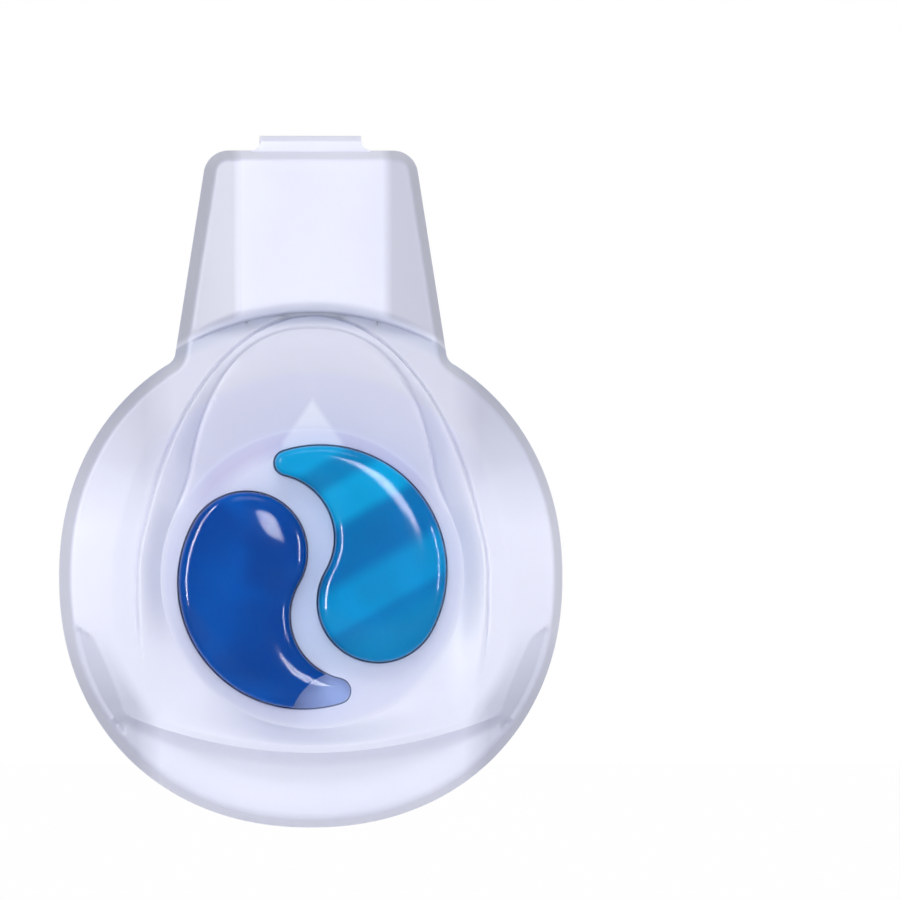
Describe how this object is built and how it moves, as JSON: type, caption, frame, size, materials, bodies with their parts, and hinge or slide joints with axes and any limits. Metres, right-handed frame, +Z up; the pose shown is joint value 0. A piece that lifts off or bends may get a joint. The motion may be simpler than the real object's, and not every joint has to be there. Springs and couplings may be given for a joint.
{
  "type": "dishwasher freshener",
  "caption": "Round translucent case with a neck and a rear hook for a rack wire, with two comma-shaped scent chambers in front.",
  "frame": {"origin": "centre of the wire seat in the hook, at the middle of the hook's width", "axes": "+X to the right seen from the front, +Y to the back, +Z up; the front faces -Y"},
  "size_m": [0.0602, 0.0208, 0.0828],
  "materials": {
    "case_white": "moulded translucent polypropylene",
    "back_white": "moulded translucent polypropylene",
    "clear_tray": "clear thermoformed sheet",
    "dark_blue_fill": "dark blue gel",
    "light_blue_fill": "light blue gel",
    "breathable_film": "breathable film"
  },
  "bodies": {
    "root": {"front_cover": "case_white", "back_cover": "back_white", "chamber_blister": "clear_tray", "dark_blue_liquid": "dark_blue_fill", "light_blue_liquid": "light_blue_fill", "membrane": "breathable_film"}
  },
  "joints": []
}
